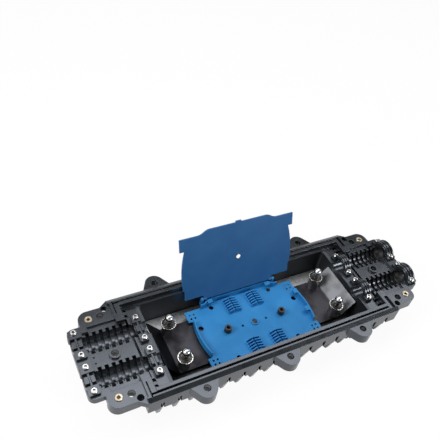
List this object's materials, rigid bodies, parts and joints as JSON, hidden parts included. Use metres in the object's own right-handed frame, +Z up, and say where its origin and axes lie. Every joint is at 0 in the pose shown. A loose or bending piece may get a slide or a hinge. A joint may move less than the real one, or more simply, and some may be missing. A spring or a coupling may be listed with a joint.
{
  "type": "horizontal fibre splice closure, opened",
  "caption": "Opened in-line fibre splice closure: ribbed black base half with clamped cable ports at both ends, steel strength bar and a blue splice tray with its lid swung up.",
  "frame": {"origin": "on the ground under the middle of the base, midway between its ends and its side lugs", "axes": "+X along the cables from the left ports to the right ports, +Y towards the lid's hinge, +Z up"},
  "size_m": [0.464, 0.18, 0.1243],
  "materials": {
    "black_plastic": "moulded glass-filled polypropylene, satin",
    "seal_rubber": "soft silicone cord",
    "brass": "turned",
    "zinc_steel": "zinc plated",
    "bright_steel": "bright stainless",
    "spring_steel": "dark spring steel",
    "dark_steel": "black oxide",
    "galvanised_sheet": "matt galvanised sheet",
    "bar_steel": "smooth steel sheet",
    "tray_blue": "moulded, satin",
    "lid_blue": "moulded, satin",
    "holder_blue": "moulded, satin"
  },
  "bodies": {
    "closure": {"base_shell": "black_plastic", "seal_cord_near": "seal_rubber", "seal_cord_far": "seal_rubber", "corner_inserts": "brass", "captive_nuts": "dark_steel", "outer_clamp_screws": "bright_steel", "inner_clamp_screws": "bright_steel", "floor_sheet": "galvanised_sheet", "strength_bar": "bar_steel", "bar_screws": "bright_steel", "anchor_spacers": "zinc_steel", "anchor_washers": "bright_steel", "anchor_spring_washers": "spring_steel", "anchor_bolts": "bright_steel", "anchor_nuts": "zinc_steel", "splice_tray": "tray_blue", "tray_screw": "dark_steel", "tray_nut": "zinc_steel", "outer_clamp_left_near": "black_plastic", "outer_clamp_left_far": "black_plastic", "outer_clamp_right_near": "black_plastic", "outer_clamp_right_far": "black_plastic", "inner_clamp_left_near": "black_plastic", "inner_clamp_left_far": "black_plastic", "inner_clamp_right_near": "black_plastic", "inner_clamp_right_far": "black_plastic", "splice_holder_left_near": "holder_blue", "splice_holder_left_far": "holder_blue", "splice_holder_right_near": "holder_blue", "splice_holder_right_far": "holder_blue"},
    "lid": {"tray_lid": "lid_blue"}
  },
  "joints": [
    {"name": "tray_lid_hinge", "type": "hinge", "parent": "closure", "child": "lid", "pos_m": [0, 0.04797, 0.0281], "axis": [1, 0, 0], "range_deg": [0, 110]}
  ]
}
